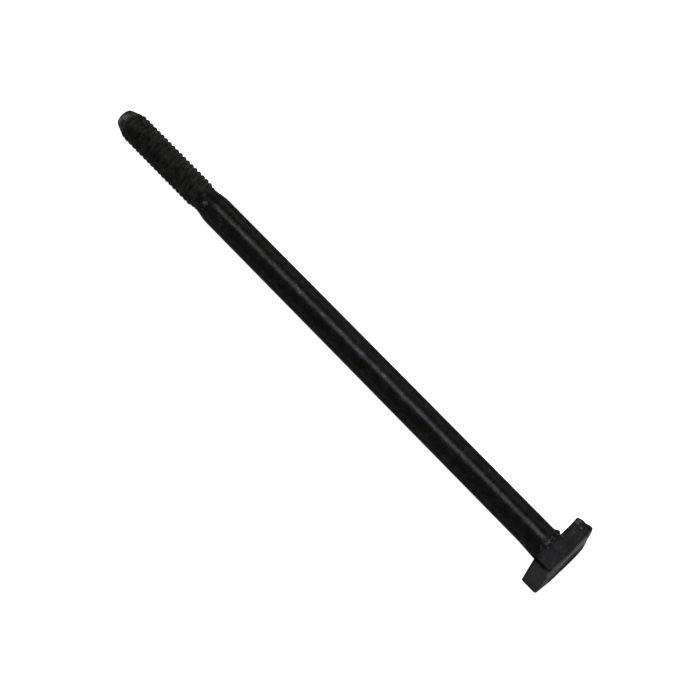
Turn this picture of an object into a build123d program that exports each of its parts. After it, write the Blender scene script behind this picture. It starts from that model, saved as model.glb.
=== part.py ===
"""Muffler bolt: a long square-head bolt, forged and thread-rolled from one steel bar.

It lies as it rests on a table, on the lower bearing-side edge of its square head and on the
crest at the end of its thread. +X runs from the point to the head and +Z is up. The origin is
on the table, under the middle of the bolt.

The bolt is built straight along its own axis first, with the bearing face of the head at
X = 0 and the point at negative X. Its thread is cut into it next, and it is laid down last.
"""
from build123d import *
from math import atan, ceil, degrees, radians, tan
import os

# Driving dimensions, in millimetres and degrees
length = 152.4                   # bearing face to the end of the point, 6 in
shank_d = 7.9375                 # plain shank, full size, 5/16 in
root_r = 0.75                    # fillet between shank and bearing face

head_flats = 15.4                # across the flats of the square
head_height = 4.7625             # bearing face to the flat of the crown, 3/16 in
head_corner_r = 0.85             # upright corners of the forged square
crown_rim = 0.75                 # edge of the flat end disc, inside the flats
crown_angle = 8.0                # fall of the crown towards the corners
crown_edge_r = 0.7               # worn arris between crown and sides
bearing_edge_r = 0.2             # edge round the bearing face

thread_length = 31.75            # end of the point to the foot of the swell, 1 1/4 in
crest_d = 7.80                   # over the crests of a 5/16-18 rolled thread
pitch = 1.4111                   # 18 threads to the inch, right-handed
flank_angle = 60.0               # between the two flanks of the groove
crest_flat = 0.24                # flat left on the crests
root_flat = 0.28                 # flat at the bottom of the groove
first_crest = 1.1                # foot of the point to the first full crest underneath
groove_fade = 2.4                # stretch where the groove runs out to the neck
groove_clear = 0.03              # groove tool past the crests, its run-out past root and neck
neck_d = 6.85                    # rolling blank left bare behind the thread
neck_land = 0.6                  # straight bottom of the neck
runout = 1.6                     # last crests falling to the neck
swell = 3.6                      # taper from the neck up to the full shank
neck_blend_r = 1.2               # soft turns at both ends of the neck and of the swell

point_length = 3.9               # header point, a cone up to the crest diameter
point_end_d = 4.9                # flat end face of the point
point_edge_r = 0.35              # edge round the end face

# Places along the bolt's own axis
end_x = -length
point_x = end_x + point_length               # foot of the point
crest_x = point_x + first_crest              # middle of the crest that meets the table
neck_foot_x = end_x + thread_length
neck_top_x = neck_foot_x - neck_land


def stem():
    """Shank, neck, thread stretch and point, turned about the bolt's own axis."""
    outline = Polyline(
        (end_x, 0),
        (end_x, point_end_d / 2),
        (point_x, crest_d / 2),
        (neck_top_x - runout, crest_d / 2),
        (neck_top_x, neck_d / 2),
        (neck_foot_x, neck_d / 2),
        (neck_foot_x + swell, shank_d / 2),
        (0, shank_d / 2),
        (0, 0),
        close=True,
    )
    section = make_face(outline)
    end_corner = section.vertices().filter_by_position(Axis.X, end_x, end_x).sort_by(Axis.Y)[-1]
    section = fillet(end_corner, point_edge_r)
    neck_corners = section.vertices().filter_by_position(Axis.X, neck_top_x, neck_foot_x + swell)
    section = fillet(neck_corners, neck_blend_r)
    return revolve(section, Axis.X)


def thread_groove():
    """Helical groove between the crests, swept in pieces of up to one turn.

    It starts clear of the point, with a crest below it, and runs out on a cone to the neck.
    """
    flank_slope = tan(radians(flank_angle / 2))
    depth = (pitch - crest_flat - root_flat) / 2 / flank_slope
    bottom_r = crest_d / 2 - depth
    top_r = crest_d / 2 + groove_clear
    top_flat = root_flat + 2 * (top_r - bottom_r) * flank_slope

    start_x = crest_x - ceil((crest_x - end_x) / pitch) * pitch
    stop_x = (neck_top_x + neck_foot_x) / 2
    pieces = ceil((stop_x - start_x) / pitch)
    step = (stop_x - start_x) / pieces
    turns = []
    for number in range(pieces):
        centre = (start_x + number * step, 0, 0)
        turn = Helix(pitch, step, bottom_r, center=centre, direction=(1, 0, 0))
        turns.append(turn.rotate(Axis.X, 360 * number * step / pitch))

    section = Polyline(
        (-root_flat / 2, 0),
        (root_flat / 2, 0),
        (top_flat / 2, top_r - bottom_r),
        (-top_flat / 2, top_r - bottom_r),
        close=True,
    )
    across = Plane(origin=turns[0] @ 0, x_dir=(1, 0, 0), z_dir=turns[0] % 0)
    groove = sweep(across * make_face(section), path=Wire(turns), is_frenet=True)

    neck_r = neck_d / 2 + groove_clear
    run_out = Polyline(
        (neck_top_x - groove_fade, 0),
        (neck_top_x - groove_fade, bottom_r - groove_clear),
        (neck_top_x, neck_r),
        (neck_foot_x, neck_r),
        (neck_foot_x, 0),
        close=True,
    )
    return groove - revolve(make_face(run_out), Axis.X)


def head():
    """Square head: upright corners rounded, end cut to a flat disc and a shallow crown."""
    square = Plane.YZ * RectangleRounded(head_flats, head_flats, head_corner_r)
    block = extrude(square, head_height)
    disc_r = head_flats / 2 - crown_rim
    reach = head_flats           # past the corners of the square
    fall = (reach - disc_r) * tan(radians(crown_angle))
    crown_outline = Polyline(
        (0, 0),
        (head_height, 0),
        (head_height, disc_r),
        (head_height - fall, reach),
        (0, reach),
        close=True,
    )
    crown = Rot(45, 0, 0) * revolve(make_face(crown_outline), Axis.X)     # seam under a corner
    block &= crown

    bearing_edges = block.edges().group_by(Axis.X)[0]
    block = fillet(bearing_edges, bearing_edge_r)
    crown_edges = [
        edge for edge in block.edges()
        if edge.center().X > head_height / 2
        and edge.geom_type != GeomType.LINE
        and edge.bounding_box().min.X < head_height - 0.001
    ]
    return fillet(crown_edges, crown_edge_r)


def straight_bolt():
    """Stem and head as one solid, with the fillet under the head and the thread cut in."""
    body = stem() + head()
    root_edges = [
        edge for edge in body.edges().filter_by(GeomType.CIRCLE)
        if abs(edge.center().X) < 0.001 and abs(edge.radius - shank_d / 2) < 0.001
    ]
    return fillet(root_edges, root_r) - thread_groove()


def laid_down(body):
    """The bolt tipped on to its thread crest and centred over the origin."""
    drop = (head_flats - crest_d) / 2
    lie_angle = degrees(atan(drop / (crest_flat / 2 - crest_x)))
    tipped = Rot(0, -lie_angle, 0) * body
    box = tipped.bounding_box()
    return Pos(-box.center().X, -box.center().Y, -box.min.Z) * tipped


os.makedirs("parts", exist_ok=True)
export_step(laid_down(straight_bolt()), "parts/bolt.step")
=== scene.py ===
"""Looks for the long square-head bolt: forged head, plain shank, rolled thread and point."""
import math

import bmesh
import bpy
from mathutils import Matrix, Vector, noise


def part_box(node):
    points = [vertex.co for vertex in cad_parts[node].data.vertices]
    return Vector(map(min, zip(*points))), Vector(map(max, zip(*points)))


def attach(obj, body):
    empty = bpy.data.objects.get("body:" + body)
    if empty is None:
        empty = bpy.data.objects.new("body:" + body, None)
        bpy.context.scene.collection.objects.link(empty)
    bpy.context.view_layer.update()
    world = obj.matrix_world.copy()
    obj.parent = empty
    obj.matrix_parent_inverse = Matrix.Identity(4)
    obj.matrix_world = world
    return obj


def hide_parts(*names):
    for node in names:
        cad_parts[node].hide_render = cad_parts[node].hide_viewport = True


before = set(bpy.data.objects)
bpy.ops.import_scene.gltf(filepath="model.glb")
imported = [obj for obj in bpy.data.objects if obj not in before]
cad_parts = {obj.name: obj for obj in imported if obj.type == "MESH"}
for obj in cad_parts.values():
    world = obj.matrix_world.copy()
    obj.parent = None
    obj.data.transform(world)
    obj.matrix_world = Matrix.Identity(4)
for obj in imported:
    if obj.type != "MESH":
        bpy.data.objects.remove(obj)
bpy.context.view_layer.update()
MM = 0.001


# The threaded end. On the real bolt the dies roll a right-hand 5/16-18 thread over the end of
# the blank and over its cone point. Here one tooth is drawn vertex by vertex, screwed round,
# pared down to the point and to the bare neck behind it, and cut square at both ends.
pitch = 25.4 / 18 * MM
length = 152.4 * MM
crest_r = 3.90 * MM
root_r = 3.13 * MM
neck_r = 3.425 * MM
core_r = 1.0 * MM
end_r = 2.45 * MM
point_length = 3.9 * MM
first_crest = 5.0 * MM
thread_end = -121.25 * MM
runout = 2.4 * MM
turns, turns_past_end = 26, 6
steps_round = 96
thread_weld, seam_weld = 0.003 * MM, 0.001 * MM
clean_cut = 0.0001 * MM

# Half of one tooth, as places along the bolt and heights over the root. The root is a little
# hollow, and the flank turns softly into the root and into the flat of the crest.
depth = crest_r - root_r
flank = depth * math.tan(math.radians(30))
crest_flat = 0.24 * MM
root_half = (pitch - crest_flat) / 2 - flank
half_tooth = [
    (0.55 * root_half, 0.004 * MM),
    (0.90 * root_half, 0.035 * MM),
    (root_half + 0.12 * flank, 0.125 * depth),
    (root_half + 0.37 * flank, 0.37 * depth),
    (root_half + 0.63 * flank, 0.63 * depth),
    (root_half + 0.90 * flank, 0.885 * depth),
    (root_half + 1.06 * flank, 0.97 * depth),
    (pitch / 2, depth),
]
tooth = half_tooth + [(pitch - x, up) for x, up in reversed(half_tooth[:-1])] + [(pitch, 0)]

bpy.ops.object.select_all(action="DESELECT")
bpy.ops.mesh.primitive_plane_add(size=MM, location=(0, 0, 0))
bolt = bpy.context.object
bolt.name = "bolt_forging"
bolt.data.name = "bolt_forging"
bpy.ops.object.mode_set(mode="EDIT")
bpy.ops.mesh.select_mode(type="VERT")
bpy.ops.mesh.select_all(action="SELECT")
bpy.ops.mesh.merge(type="CENTER")
bpy.ops.transform.translate(value=(first_crest - length - turns_past_end * pitch, 0, root_r))
pen_x, pen_up = 0, 0
for x, up in tooth:
    bpy.ops.mesh.extrude_vertices_move(
        TRANSFORM_OT_translate={"value": (x - pen_x, 0, up - pen_up)})
    pen_x, pen_up = x, up
bpy.ops.object.mode_set(mode="OBJECT")
screw = bolt.modifiers.new("rolled_thread", "SCREW")
screw.axis = "X"
screw.screw_offset = pitch
screw.iterations = turns
screw.steps = steps_round
screw.render_steps = steps_round
bpy.ops.object.modifier_apply(modifier="rolled_thread")
bpy.ops.object.mode_set(mode="EDIT")
bpy.ops.mesh.select_all(action="SELECT")
bpy.ops.mesh.remove_doubles(threshold=thread_weld)
bpy.ops.object.mode_set(mode="OBJECT")


def soft_step(start, stop, value):
    """Nought before start, one past stop, and a soft slope between, whichever way they lie."""
    share = min(1, max(0, (value - start) / (stop - start)))
    return share * share * (3 - 2 * share)


point_slope = (crest_r - end_r) / point_length
for vertex in bolt.data.vertices:
    x, y, z = vertex.co
    radius = math.hypot(y, z)
    pared = neck_r + (radius - neck_r) * soft_step(thread_end, thread_end - runout, x)
    pared = min(pared, end_r + (x + length) * point_slope)
    pared = max(pared, core_r)
    vertex.co.y *= pared / radius
    vertex.co.z *= pared / radius

# The end face is rounded over at its rim: the cut is made where that rounding starts, and
# rings are drawn in from it round the rim, over the flat face and to a closed pole.
rim_r = 0.35 * MM
rim_steps = 5
cone = math.atan(point_slope)
rim_centre_r = end_r - rim_r * math.tan((math.pi / 2 - cone) / 2)
rim_centre_x = -length + rim_r
slack = 0.01 * MM


def even_steps(start, stop, steps):
    """Values in even steps, without start and with stop."""
    return [start + (stop - start) * k / steps for k in range(1, steps + 1)]


def on_rim(turn):
    """Place on the rounded rim, its turn going from cone to a right angle at the end face."""
    return rim_centre_x - rim_r * math.sin(turn), rim_centre_r + rim_r * math.cos(turn)


def select_open_ring(low, high):
    """Selects the open edges of the mesh between two places along the bolt."""
    bpy.ops.mesh.select_mode(type="EDGE")
    bpy.ops.mesh.select_all(action="DESELECT")
    mesh = bmesh.from_edit_mesh(bolt.data)
    for edge in mesh.edges:
        if edge.is_boundary and all(low - slack <= v.co.x <= high + slack for v in edge.verts):
            edge.select_set(True)
    bmesh.update_edit_mesh(bolt.data)
    bpy.ops.mesh.select_mode(type="VERT")


def draw_ring(step, scale, x):
    """Extrudes the selected ring along the bolt to x and scales it about the axis."""
    bpy.ops.mesh.extrude_region_move(TRANSFORM_OT_translate={"value": (step, 0, 0)})
    bpy.ops.transform.resize(value=(1, scale, scale), center_override=(x, 0, 0))


def close_pole():
    """Closes the selected ring to one point at its middle."""
    bpy.ops.mesh.extrude_region_move(TRANSFORM_OT_translate={"value": (0, 0, 0)})
    bpy.ops.mesh.merge(type="CENTER")


bpy.ops.object.mode_set(mode="EDIT")
cut_x, cut_r = on_rim(cone)
bpy.ops.mesh.select_all(action="SELECT")
bpy.ops.mesh.bisect(plane_co=(cut_x, 0, 0), plane_no=(1, 0, 0),
                    clear_inner=True, threshold=clean_cut)
bpy.ops.mesh.select_all(action="SELECT")
bpy.ops.mesh.bisect(plane_co=(thread_end, 0, 0), plane_no=(1, 0, 0),
                    clear_outer=True, threshold=clean_cut)
select_open_ring(cut_x, cut_x)
rings = [on_rim(turn) for turn in even_steps(cone, math.pi / 2, rim_steps)]
rings += [(-length, rim_centre_r * share) for share in (0.75, 0.5, 0.25)]
for x, radius in rings:
    draw_ring(x - cut_x, radius / cut_r, x)
    cut_x, cut_r = x, radius
close_pole()


# The plain shank is the drawn bar itself. Between it and the thread the bar was reduced to a
# neck for rolling, which swells softly to the full size, and a small fillet turns out under
# the head. One ring is drawn along from the neck, and bridged to the end of the thread.
shank_r = 3.96875 * MM
swell_start = -120.65 * MM
swell_length = 3.6 * MM
swell_softness = 0.10
shank_start = swell_start + swell_length
close_rings_start = -3.4 * MM
root_fillet = 0.75 * MM
ring_count = 128
swell_steps, shank_steps, close_steps, fillet_steps = 12, 44, 14, 7
bridge_gap = 0.12 * MM

stations = []
for k in range(swell_steps + 1):
    share = k / swell_steps
    soft = share - swell_softness * math.sin(2 * math.pi * share) / math.pi
    stations.append((swell_start + swell_length * share, neck_r + (shank_r - neck_r) * soft))
shank_places = even_steps(shank_start, close_rings_start, shank_steps)
shank_places += even_steps(close_rings_start, -root_fillet, close_steps)
stations += [(x, shank_r) for x in shank_places]
for turn in even_steps(0, math.pi / 2, fillet_steps):
    stations.append((-root_fillet + root_fillet * math.sin(turn),
                     shank_r + root_fillet * (1 - math.cos(turn))))

bpy.ops.mesh.select_all(action="DESELECT")
ring_x, ring_r = thread_end + bridge_gap, neck_r
bpy.ops.mesh.primitive_circle_add(vertices=ring_count, radius=ring_r, location=(ring_x, 0, 0),
                                  rotation=(0, math.radians(90), 0))
for x, radius in stations:
    draw_ring(x - ring_x, radius / ring_r, x)
    ring_x, ring_r = x, radius


# The head is upset from the same bar in a square die: four flat sides with rounded corners,
# a bearing face, and an end that is flat inside a disc and falls away in a shallow crown
# towards the corners. The ring goes on, and each new ring is laid on the die's outline.
half_flats = 7.7 * MM
head_height = 4.7625 * MM
corner_r = 0.85 * MM
bearing_edge_r = 0.2 * MM
crown_edge_r = 0.55 * MM
disc_r = half_flats - 0.75 * MM
crown_fall = math.tan(math.radians(8))
fillet_r = shank_r + root_fillet
side_steps, flat_steps = ring_count // 4, 11
corner_steps = side_steps - 2 * flat_steps
wall_steps, arris_steps = 10, 5

# The dies closed off centre and out of square by these amounts. Each pair is where a soft slope
# starts and stops, across the head in shares of half_flats and along it in lengths.
die_offset = 0.12 * MM
bearing_lean = 0.42 * MM
end_tilt, low_near, low_far = 0.52 * MM, 0.30 * MM, 0.25 * MM
corner_lift, lift_up = 0.45 * MM, (0.1, 0.75)
upper_end = (-0.9, 0.9)
corner_up, corner_out = (0.35, 0.95), (0.6, 0.95)
ear_rise, ear_start, ear_stop = 0.33 * MM, (2.2 * MM, 3.4 * MM), (3.7 * MM, 4.5 * MM)
corner_loss, loss_stop = 0.35 * MM, (0, 1.3 * MM)
corner_slant = 0.3


def die_outline(place):
    """Point and outward direction on the rounded square, place counting round the ring."""
    side, step = divmod(place, side_steps)
    straight = half_flats - corner_r
    if step <= flat_steps:
        point, turn = (half_flats, straight * step / flat_steps), 0
    elif step >= flat_steps + corner_steps:
        point, turn = (straight * (side_steps - step) / flat_steps, half_flats), 90
    else:
        turn = 90 * (step - flat_steps) / corner_steps
        point = (straight + corner_r * math.cos(math.radians(turn)),
                 straight + corner_r * math.sin(math.radians(turn)))
    quarter = Matrix.Rotation(math.radians(90 * side), 2)
    out = Vector((math.cos(math.radians(turn)), math.sin(math.radians(turn))))
    return quarter @ Vector(point), quarter @ out


def on_circle(place, radius):
    """Point on a circle about the axis, place counting round the ring."""
    angle = 2 * math.pi * place / ring_count
    return Vector((math.cos(angle), math.sin(angle))) * radius


def crown_x(radius):
    """Height of the crown at a distance from the axis."""
    return head_height - max(0, radius - disc_r) * crown_fall


def soft_band(start, stop, value):
    """One between two soft slopes, the first up and the second down, and nought outside them."""
    return soft_step(*start, value) * (1 - soft_step(*stop, value))


def as_struck(x, y, z):
    """Moves a point of the true head to where it sits on this one: off centre, out of square,
    with a small ear pushed out of the upper far corner and the metal under it missing."""
    along, upper = x / head_height, z / half_flats
    far_side, near_side = max(0, y) / half_flats, max(0, -y) / half_flats
    off_root = soft_step(fillet_r, half_flats, math.hypot(y, z))
    shift = die_offset * max(off_root, soft_step(0, bearing_edge_r, x))
    lean = bearing_lean * far_side ** 2 * (1 - along)

    lift = corner_lift * far_side ** 3 * soft_step(*lift_up, upper)
    high_end = lift - end_tilt * y / half_flats
    low_end = low_near * near_side + low_far * far_side ** 3
    skew = along * (low_end + (high_end - low_end) * soft_step(*upper_end, upper))

    corner = soft_step(*corner_up, upper) * soft_step(*corner_out, far_side)
    bulge = ear_rise * corner * soft_band(ear_start, ear_stop, x)
    bulge -= corner_loss * corner * (1 - soft_step(*loss_stop, x))
    return x - lean + skew, y + shift + bulge, z + corner_slant * bulge


def lay_ring(where):
    """Extrudes the open ring once and puts each vertex at where(place), as struck."""
    bpy.ops.mesh.extrude_region_move(TRANSFORM_OT_translate={"value": (0, 0, 0)})
    mesh = bmesh.from_edit_mesh(bolt.data)
    half_step = math.pi / ring_count
    ring = [v for v in mesh.verts if v.select]
    ring.sort(key=lambda v: (math.atan2(v.co.z, v.co.y) + half_step) % (2 * math.pi))
    for place, vertex in enumerate(ring):
        vertex.co = as_struck(*where(place))
    bmesh.update_edit_mesh(bolt.data)


def bearing_ring(share):
    """Ring on the bearing face, from the root fillet out to the face's edge."""
    def where(place):
        point, out = die_outline(place)
        y, z = on_circle(place, fillet_r).lerp(point - out * bearing_edge_r, share)
        return 0, y, z
    return where


def bearing_edge_ring(turn):
    """Ring on the small rounding between the bearing face and the sides."""
    def where(place):
        point, out = die_outline(place)
        y, z = point - out * bearing_edge_r * (1 - math.sin(turn))
        return bearing_edge_r * (1 - math.cos(turn)), y, z
    return where


def arris_start(place):
    """Height where the arris rounding starts, and the crown's slope as an angle, at one place."""
    point, out = die_outline(place)
    slope = crown_fall * out.dot(point.normalized())
    wall_top = crown_x(point.length)
    return wall_top + crown_edge_r * (slope - 1 / math.cos(math.atan(slope))), math.atan(slope)


def wall_ring(share):
    """Ring on the flat sides, from the bearing edge up to the arris rounding."""
    def where(place):
        point, _ = die_outline(place)
        top, _ = arris_start(place)
        return bearing_edge_r + (top - bearing_edge_r) * share, point.x, point.y
    return where


def arris_ring(share):
    """Ring on the arris rounding, from the side over to the crown."""
    def where(place):
        point, out = die_outline(place)
        top, slope_angle = arris_start(place)
        turn = (math.pi / 2 - slope_angle) * share
        y, z = point - out * crown_edge_r * (1 - math.cos(turn))
        return top + crown_edge_r * math.sin(turn), y, z
    return where


def crown_ring(share):
    """Ring on the crown, from the arris in to the flat disc."""
    def where(place):
        point, out = die_outline(place)
        _, slope_angle = arris_start(place)
        outer = point - out * crown_edge_r * (1 - math.sin(slope_angle))
        y, z = outer.lerp(on_circle(place, disc_r), share)
        return crown_x(math.hypot(y, z)), y, z
    return where


def disc_ring(share):
    """Ring on the flat disc of the end."""
    def where(place):
        y, z = on_circle(place, disc_r * share)
        return head_height, y, z
    return where


head_rings = [bearing_ring(share) for share in (0.3, 0.65, 1)]
head_rings += [bearing_edge_ring(math.radians(turn)) for turn in (30, 60, 90)]
head_rings += [wall_ring(share) for share in even_steps(0, 1, wall_steps)]
head_rings += [arris_ring(share) for share in even_steps(0, 1, arris_steps)]
head_rings += [crown_ring(share) for share in (0.25, 0.5, 0.75, 1)]
head_rings += [disc_ring(share) for share in (0.85, 0.65, 0.45, 0.25, 0.1)]
for where in head_rings:
    lay_ring(where)
close_pole()

select_open_ring(thread_end, thread_end + bridge_gap)
bpy.ops.mesh.bridge_edge_loops()
bpy.ops.mesh.select_all(action="SELECT")
bpy.ops.mesh.remove_doubles(threshold=seam_weld)
bpy.ops.mesh.normals_make_consistent(inside=False)
bpy.ops.object.mode_set(mode="OBJECT")

# Just short of the head the bar is upset a little fuller on its lower side, with a scrap of flash
# on the other, and rolling left a nick in the neck. Each middle and spread is an angle about the
# axis, counted up from the far side, and a length along the bolt.
flash_height, flash_grain = 0.78 * MM, 0.4 * MM
flash_middle, flash_spread = (math.radians(23), -1.5 * MM), (0.13, 0.6 * MM)
upset_swell, upset_skin = 0.28 * MM, 0.4 * MM
upset_start, upset_full = -6.4 * MM, -0.6 * MM
nick_depth = 0.2 * MM
nick_middle, nick_spread = (math.radians(128), thread_end + 2.2 * MM), (0.26, 0.8 * MM)
nick_reach = (thread_end - 1 * MM, thread_end + 4 * MM)


def spot(angle, x, middle, spread):
    """A soft spot on the bolt's skin, one at its middle and fading out over its spread."""
    return math.exp(-((angle - middle[0]) / spread[0]) ** 2 - ((x - middle[1]) / spread[1]) ** 2)


for vertex in bolt.data.vertices:
    x, y, z = vertex.co
    angle, radius = math.atan2(z, y), math.hypot(y, z)
    change = 0
    if upset_start < x < 0 and radius < shank_r + upset_skin:
        ragged = 0.75 + 0.5 * noise.noise(Vector((x, y, z)) / flash_grain)
        below = max(0, -math.cos(angle - flash_middle[0])) ** 2
        change = flash_height * ragged * spot(angle, x, flash_middle, flash_spread)
        change += upset_swell * below * soft_step(upset_start, upset_full, x)
    elif nick_reach[0] < x < nick_reach[1]:
        change = -nick_depth * spot(angle, x, nick_middle, nick_spread)
    vertex.co.y *= 1 + change / max(radius, core_r)
    vertex.co.z *= 1 + change / max(radius, core_r)

# Where the finish differs is marked on the mesh: oil in the thread, scale on the forged head, its
# struck end, bare steel where the end, the edges, the root, the nick and the point are rubbed,
# chipped or rough, and where light and shade are painted: on the thread's crests, flanks and upper
# far side, on the head's near side, and as painted shade along one corner of the head.
thread_edge = (thread_end - 0.6 * MM, thread_end + 0.5 * MM)
steepest = 0.8
# The thread's upper far side is painted a lighter grey, its flanks most: painted light.
painted_light_angle, painted_light_spread = math.radians(70), math.radians(42)
head_edge = (-1.5 * MM, 0.1 * MM)
end_rim, end_upper = (0.6 * MM, 2.6 * MM), (-0.6 * MM, 3.4 * MM)
end_facing, rim_facing, near_facing = (0.80, 0.97), (0.25, 0.60), (0.5, 0.95)
root_start, root_stop = (-3.2 * MM, -0.8 * MM), (0.2 * MM, 1.6 * MM)
nick_shine = (0.28, 0.85 * MM)
scuff_middle, scuff_spread = (math.radians(75), -0.8 * MM), (0.16, 1.1 * MM)
edge_out = (2.5 * MM, 6.0 * MM)
edge_start, edge_stop = (-0.1 * MM, 0.1 * MM), (0.6 * MM, 1.6 * MM)
speck_place, speck_r = Vector((2.2, 5.6, 7.7)) * MM, 0.4 * MM
crease_angle, crease_spread, crease_stop = math.radians(136), 0.075, (2.8 * MM, 4.2 * MM)
point_bare, point_near = (-length + 1.3 * MM, -length + 3.5 * MM), (-2 * MM, 2 * MM)


def finish_at(vertex):
    """How far each finish, and each painted light and shade, holds at one vertex of the bolt, by
    name.
    """
    x, y, z = vertex.co
    angle = math.atan2(z, y)
    steep = min(1, abs(vertex.normal.x) / steepest)
    upper_painted_light = math.exp(-((angle - painted_light_angle) / painted_light_spread) ** 4)

    on_head = soft_step(*head_edge, x)
    from_flats = half_flats - ((y - die_offset) ** 4 + z ** 4) ** 0.25
    inside, upper = soft_step(*end_rim, from_flats), soft_step(*end_upper, z)
    on_end = on_head * soft_step(*end_facing, vertex.normal.x)
    off_sides = on_head * soft_step(*rim_facing, vertex.normal.x)
    # The head's near side, chosen by the way its surface faces, takes painted light.
    near_side_painted_light = on_head * soft_step(*near_facing, -vertex.normal.y)

    at_root = soft_band(root_start, root_stop, x)
    nicked = spot(angle, x, nick_middle, nick_shine)
    scuffed = spot(angle, x, scuff_middle, scuff_spread)
    on_edge = soft_step(*edge_out, min(y, z)) * soft_band(edge_start, edge_stop, x)
    speck = (vertex.co - speck_place).length < speck_r
    chipped = max(0.5 * at_root + 0.5 * scuffed, 1.25 * nicked, 0.78 * on_edge, 1.1 * speck)

    # Painted shade along one corner of the head, on its lower part towards the bearing face.
    on_corner = math.exp(-((angle - crease_angle) / crease_spread) ** 2)
    crease_painted_shade = on_corner * on_head * (1 - soft_step(*crease_stop, x))
    most_bare = 0.3 + 0.7 * soft_step(*point_near, -y)
    return {
        "rolled": 1 - soft_step(*thread_edge, x),
        "steep": steep,
        "forged": on_head,
        "struck": on_end * inside * (1 - upper),
        "rubbed": off_sides * max(upper, 1 - inside),
        "bare": most_bare * (1 - soft_step(*point_bare, x)),
        "rough": max(at_root, nicked),
        "upper_side_painted_light": upper_painted_light * (0.25 + 0.75 * steep),
        "near_side_painted_light": near_side_painted_light,
        "chipped": chipped,
        "crease_painted_shade": crease_painted_shade,
    }


marks = [finish_at(vertex) for vertex in bolt.data.vertices]
for name in marks[0]:
    values = [here[name] for here in marks]
    bolt.data.attributes.new(name, "FLOAT", "POINT").data.foreach_set("value", values)

# The bolt is laid down: tipped about its head until the first crest of the thread touches the
# table, and moved to the place of the solid that it stands for.
lie = math.atan((half_flats - crest_r) / (length - first_crest + crest_flat / 2))
low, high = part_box("bolt")
bolt.rotation_euler.y = -lie
bpy.ops.object.transform_apply(location=True, rotation=True, scale=True)
corners = [v.co for v in bolt.data.vertices]
middle_x = (min(c.x for c in corners) + max(c.x for c in corners)) / 2
lowest = min(c.z for c in corners)
bolt.location = ((low.x + high.x) / 2 - middle_x, 0, low.z - lowest)
bpy.ops.object.transform_apply(location=True, rotation=True, scale=True)
bpy.ops.object.shade_smooth_by_angle(angle=math.radians(40))


# The finish is black oxide on steel, brown-black and faintly blue where the oil lies thick. It is
# duller on the forged head, and under dirty oil in the thread. It is worn through to grey steel
# round the head's end, in chips at its edges and root, in the nick and on the point. Light and
# shade
# are painted on it too: the thread's crests darker and its flanks and upper far side lighter, the
# head's near side lighter, and a line of painted shade along one corner of the head.
finish = bpy.data.materials.new("oiled_black_oxide")


def clear_nodes(owner):
    """Turns on and empties the nodes of a material or world, and gives its nodes and links."""
    owner.use_nodes = True
    owner.node_tree.nodes.clear()
    return owner.node_tree.nodes, owner.node_tree.links


nodes, links = clear_nodes(finish)
output = nodes.new("ShaderNodeOutputMaterial")
shader = nodes.new("ShaderNodeBsdfPrincipled")
shader.inputs["Specular IOR Level"].default_value = 0.09
links.new(shader.outputs["BSDF"], output.inputs["Surface"])
coordinates = nodes.new("ShaderNodeTexCoord")


def grain(size, detail, stretch=1):
    """Noise with marks of about this size in metres, drawn out along the bolt by stretch."""
    spread = nodes.new("ShaderNodeMapping")
    spread.inputs["Scale"].default_value = (1 / (size * stretch), 1 / size, 1 / size)
    links.new(coordinates.outputs["Object"], spread.inputs["Vector"])
    speckle = nodes.new("ShaderNodeTexNoise")
    speckle.inputs["Scale"].default_value = 1
    speckle.inputs["Detail"].default_value = detail
    links.new(spread.outputs["Vector"], speckle.inputs["Vector"])
    return speckle.outputs["Fac"]


def mark(name):
    """One of the marks on the mesh, by its name."""
    marked = nodes.new("ShaderNodeAttribute")
    marked.attribute_name = name
    return marked.outputs["Fac"]


def remap(value, low_in, high_in, low_out=0, high_out=1):
    """Carries a value from one range to another, and holds it inside the second."""
    ranged = nodes.new("ShaderNodeMapRange")
    ranged.inputs["From Min"].default_value = low_in
    ranged.inputs["From Max"].default_value = high_in
    ranged.inputs["To Min"].default_value = low_out
    ranged.inputs["To Max"].default_value = high_out
    links.new(value, ranged.inputs["Value"])
    return ranged.outputs["Result"]


def combine(operation, first, second):
    """Sum, product or difference of two values, each a number or the output of a node."""
    maths = nodes.new("ShaderNodeMath")
    maths.operation = operation
    for socket, value in zip(maths.inputs, (first, second)):
        if isinstance(value, (int, float)):
            socket.default_value = value
        else:
            links.new(value, socket)
    return maths.outputs["Value"]


def plus(first, second):
    """Sum of two values."""
    return combine("ADD", first, second)


def times(first, second):
    """Product of two values."""
    return combine("MULTIPLY", first, second)


def tint(share, under, over):
    """One colour over another by a share; each is a colour or the output of another tint."""
    mixer = nodes.new("ShaderNodeMix")
    mixer.data_type = "RGBA"
    links.new(share, mixer.inputs["Factor"])
    for socket, colour in ((mixer.inputs["A"], under), (mixer.inputs["B"], over)):
        if isinstance(colour, tuple):
            socket.default_value = (*colour, 1)
        else:
            links.new(colour, socket)
    return mixer.outputs["Result"]


def mottled(pattern, low_in, high_in, dark, light):
    """A coat that is dark where the pattern is low and light where it is high."""
    return tint(remap(pattern, low_in, high_in), dark, light)


blotches = grain(0.0018, 4)
specks = grain(0.00045, 2)
streaks = grain(0.0009, 3, stretch=9)
chips = grain(0.0008, 2)
patchy = plus(times(blotches, 0.7), times(specks, 0.3))

# The coats are mottled from dark to light. Where the steel is bare it has one colour, and the
# patches of the coat break up the edges of what is rubbed, bare or chipped.
oxide = mottled(patchy, 0.40, 0.60, (0.0062, 0.0064, 0.0050), (0.0108, 0.0104, 0.0122))
scale_coat = mottled(patchy, 0.38, 0.62, (0.0092, 0.0090, 0.0095), (0.0160, 0.0155, 0.0170))
# The head's near side is painted lighter than the rest of its scale: painted light.
scale_with_painted_light = mottled(patchy, 0.38, 0.62, (0.0180, 0.0177, 0.0180), (0.0300, 0.0292, 0.0310))
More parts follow.
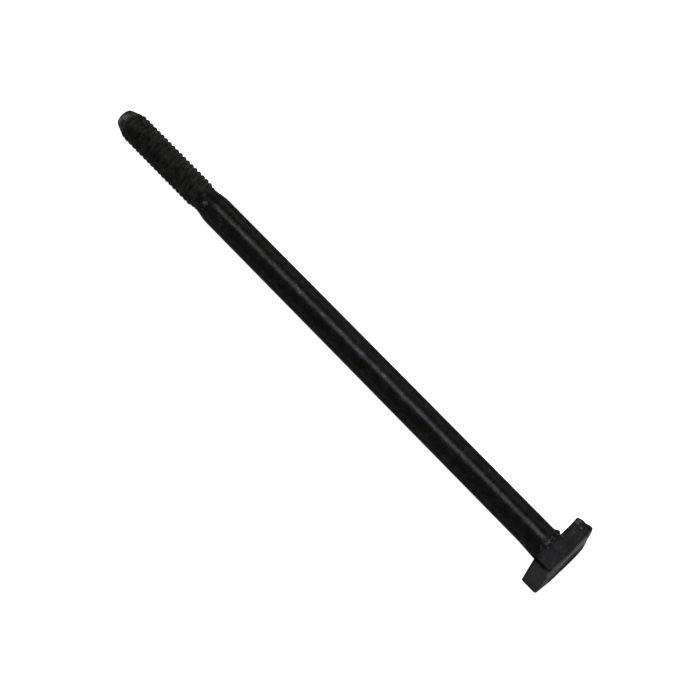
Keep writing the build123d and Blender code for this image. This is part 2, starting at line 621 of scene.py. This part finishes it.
# The thread's crests are painted darker and its flanks lighter: painted shade and painted light
# that even out how the crests and flanks of the teeth are lit.
oily_crest_painted_shade = mottled(blotches, 0.38, 0.64, (0.0005, 0.0005, 0.0005), (0.0038, 0.0037, 0.0036))
oily_flank_painted_light = mottled(blotches, 0.38, 0.64, (0.0042, 0.0042, 0.0037), (0.0180, 0.0175, 0.0170))
painted_light_grey = (0.030, 0.0292, 0.0285)
rubbed_steel = (0.078, 0.077, 0.070)
point_steel = (0.064, 0.063, 0.054)
chip_steel = (0.055, 0.055, 0.053)
# Painted shade: a near black line along one corner of the head, standing in for a crease's shade.
painted_shade_black = (0.0022, 0.0022, 0.0028)

dirty_oil_and_painted_light = tint(mark("steep"), oily_crest_painted_shade, oily_flank_painted_light)
# Painted light: the upper far side of the thread, its flanks most, is tinted a lighter grey.
upper_painted_light = times(mark("upper_side_painted_light"), remap(patchy, 0.38, 0.62, 0.1, 0.6))
dirty_oil_and_painted_light = tint(upper_painted_light, dirty_oil_and_painted_light, painted_light_grey)
ragged = remap(plus(mark("rubbed"), times(patchy, 1.8)), 1.13, 1.70)
rubbed = times(ragged, remap(patchy, 0.38, 0.60, 0.25, 1))
bare = times(mark("bare"), remap(patchy, 0.40, 0.56))
chipped = remap(plus(mark("chipped"), remap(chips, 0.35, 0.65)), 1.25, 1.6)

colour = tint(mark("forged"), oxide, tint(mark("near_side_painted_light"), scale_coat, scale_with_painted_light))
colour = tint(mark("rolled"), colour, dirty_oil_and_painted_light)
colour = tint(rubbed, colour, rubbed_steel)
colour = tint(bare, colour, point_steel)
colour = tint(chipped, colour, chip_steel)
colour = tint(mark("crease_painted_shade"), colour, painted_shade_black)
links.new(colour, shader.inputs["Base Color"])

metal = combine("SUBTRACT", 1, times(mark("rolled"), 0.95))
links.new(metal, shader.inputs["Metallic"])
dullness = remap(streaks, 0.3, 0.7, 0.23, 0.33)
for name, duller in (("forged", 0.14), ("rolled", 0.42), ("rough", 0.30)):
    dullness = plus(dullness, times(mark(name), duller))
links.new(dullness, shader.inputs["Roughness"])
edge_gloss = tint(mark("struck"), (0.53, 0.53, 0.53), (0.26, 0.26, 0.26))
links.new(edge_gloss, shader.inputs["Specular Tint"])

skin = nodes.new("ShaderNodeBump")
skin.inputs["Distance"].default_value = 0.02 * MM
skin.inputs["Strength"].default_value = 0.75
links.new(plus(specks, times(blotches, 1.5)), skin.inputs["Height"])
links.new(skin.outputs["Normal"], shader.inputs["Normal"])

bolt.data.materials.clear()
bolt.data.materials.append(finish)
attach(bolt, "root")
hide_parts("bolt")


# The table is a plain white sheet of paper. Looked at directly it glows up to white, and a faint
# trace of the soft shadow that the bolt throws stays on it.
paper_white, paper_glow = 0.8, 0.85
bpy.ops.mesh.primitive_plane_add(size=3, location=(0, 0, low.z))
table = bpy.context.object
table.name = "white_table"
paper = bpy.data.materials.new("white_paper")
paper_nodes, paper_links = clear_nodes(paper)
output = paper_nodes.new("ShaderNodeOutputMaterial")
matte = paper_nodes.new("ShaderNodeBsdfDiffuse")
matte.inputs["Color"].default_value = (paper_white, paper_white, paper_white, 1)
glow = paper_nodes.new("ShaderNodeEmission")
glow.inputs["Color"].default_value = (1, 1, 1, 1)
both = paper_nodes.new("ShaderNodeAddShader")
path = paper_nodes.new("ShaderNodeLightPath")
strength = paper_nodes.new("ShaderNodeMath")
strength.operation = "MULTIPLY"
strength.inputs[1].default_value = paper_glow
paper_links.new(path.outputs["Is Camera Ray"], strength.inputs[0])
paper_links.new(strength.outputs["Value"], glow.inputs["Strength"])
paper_links.new(matte.outputs["BSDF"], both.inputs[0])
paper_links.new(glow.outputs["Emission"], both.inputs[1])
paper_links.new(both.outputs["Shader"], output.inputs["Surface"])
table.data.materials.append(paper)


# A long soft lamp hangs over the bolt, turned a little across it, a wide dim card stands behind
# it, and a weak even fill comes from all round.
def hang_lamp(name, centre, long_way, along, across, watts):
    """A rectangular lamp that faces the origin, its long side turned towards long_way."""
    lamp = bpy.data.lights.new(name, "AREA")
    lamp.shape = "RECTANGLE"
    lamp.size = along
    lamp.size_y = across
    lamp.energy = watts
    holder = bpy.data.objects.new(name, lamp)
    bpy.context.scene.collection.objects.link(holder)
    back = Vector(centre).normalized()
    right = Vector(long_way) - back * back.dot(Vector(long_way))
    right.normalize()
    facing = Matrix((right, back.cross(right), back)).transposed().to_4x4()
    holder.matrix_world = Matrix.Translation(Vector(centre)) @ facing
    holder.visible_camera = False


hang_lamp("overhead_softbox", centre=(-0.15, -0.024, 0.77), long_way=(0.96, 0.28, 0),
          along=0.62, across=0.28, watts=3.9)
hang_lamp("back_card", centre=(-0.32, 1.04, 0.60), long_way=(1, 0, 0),
          along=1.2, across=0.9, watts=3.1)

fill_strength, backdrop_strength = 0.6, 1.0
world = bpy.data.worlds.new("studio")
bpy.context.scene.world = world
room_nodes, room_links = clear_nodes(world)
output = room_nodes.new("ShaderNodeOutputWorld")
room = room_nodes.new("ShaderNodeBackground")
room.inputs["Color"].default_value = (1, 1, 1, 1)
path = room_nodes.new("ShaderNodeLightPath")
level = room_nodes.new("ShaderNodeMapRange")
level.inputs["To Min"].default_value = fill_strength
level.inputs["To Max"].default_value = backdrop_strength
room_links.new(path.outputs["Is Camera Ray"], level.inputs["Value"])
room_links.new(level.outputs["Result"], room.inputs["Strength"])
room_links.new(room.outputs["Background"], output.inputs["Surface"])


# The camera looks down on the bolt from the head's side, with the head nearest to it. It aims a
# little below the middle of the bolt, and a little to the head's side of it.
azimuth, elevation, roll = math.radians(32.04), math.radians(63.07), math.radians(16.885)
off_middle = Vector((5.9, 0.15, -3.83)) * MM
distance = 0.4140
lens = bpy.data.cameras.new("camera")
lens.lens = 88.1
lens.sensor_width = 36
camera = bpy.data.objects.new("camera", lens)
bpy.context.scene.collection.objects.link(camera)
turned = (Matrix.Rotation(azimuth, 4, "Z") @ Matrix.Rotation(math.pi / 2 - elevation, 4, "X")
          @ Matrix.Rotation(roll, 4, "Z"))
aim = (low + high) / 2 + off_middle
camera.matrix_world = Matrix.Translation(aim + turned @ Vector((0, 0, distance))) @ turned
bpy.context.scene.camera = camera
bpy.context.scene.view_settings.view_transform = "Standard"
